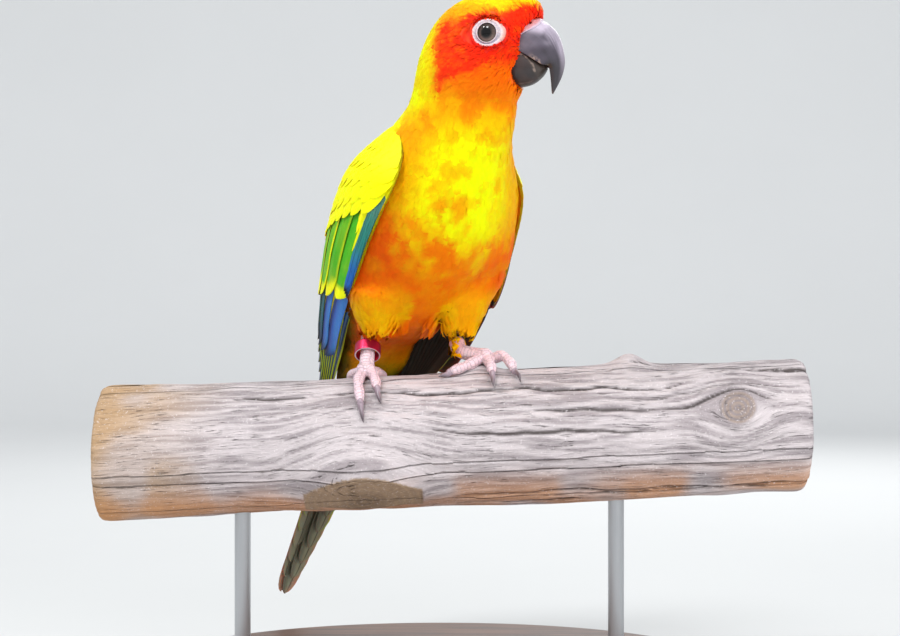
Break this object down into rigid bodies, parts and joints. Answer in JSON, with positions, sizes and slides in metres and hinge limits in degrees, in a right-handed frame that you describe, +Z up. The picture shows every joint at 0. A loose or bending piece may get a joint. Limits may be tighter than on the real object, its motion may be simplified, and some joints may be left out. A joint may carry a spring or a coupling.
{
  "type": "sun conure model",
  "caption": "Life-size still model of a sun conure, a small yellow and orange parrot gripping a short cut log with its head turned, held by slim rods over a flat oval stand base.",
  "frame": {"origin": "centre of the underside of the stand's base, on the floor", "axes": "+X along the log, to the right as the picture sees it; -Y towards the picture's camera, out over which the bird looks; +Z up"},
  "size_m": [0.261, 0.1811, 0.2564],
  "materials": {
    "face": "short glossy red and orange feathers",
    "neck": "small orange feathers with yellow bases showing",
    "breast": "small yellow and red-orange feathers",
    "wing": "yellow coverts, green greater coverts, blue-black quills",
    "tail": "olive green above, dark grey-brown underneath",
    "bill": "dark grey horn, satin",
    "eye": "wet dark iris",
    "skin": "pink scaly skin",
    "claw": "pinkish grey horn",
    "ring": "pink-red anodised, pale worn rims",
    "log": "weathered silver-grey, bare",
    "base": "dark stained hardwood, satin",
    "rod": "brushed"
  },
  "bodies": {
    "root": {"head": "face", "neck": "neck", "torso": "breast", "thigh_right": "breast", "thigh_left": "breast", "wing_right": "wing", "wing_left": "wing", "tail": "tail", "bill_upper": "bill", "bill_lower": "bill", "eye_left": "eye", "eye_right": "eye", "foot_right": "skin", "foot_left": "skin", "claw_right_outer_front": "claw", "claw_right_inner_front": "claw", "claw_right_outer_back": "claw", "claw_right_inner_back": "claw", "claw_left_outer_front": "claw", "claw_left_inner_front": "claw", "claw_left_outer_back": "claw", "claw_left_inner_back": "claw", "leg_ring": "ring", "perch": "log", "stand_base": "base", "stand_rod_1": "rod", "stand_rod_2": "rod"}
  },
  "joints": []
}
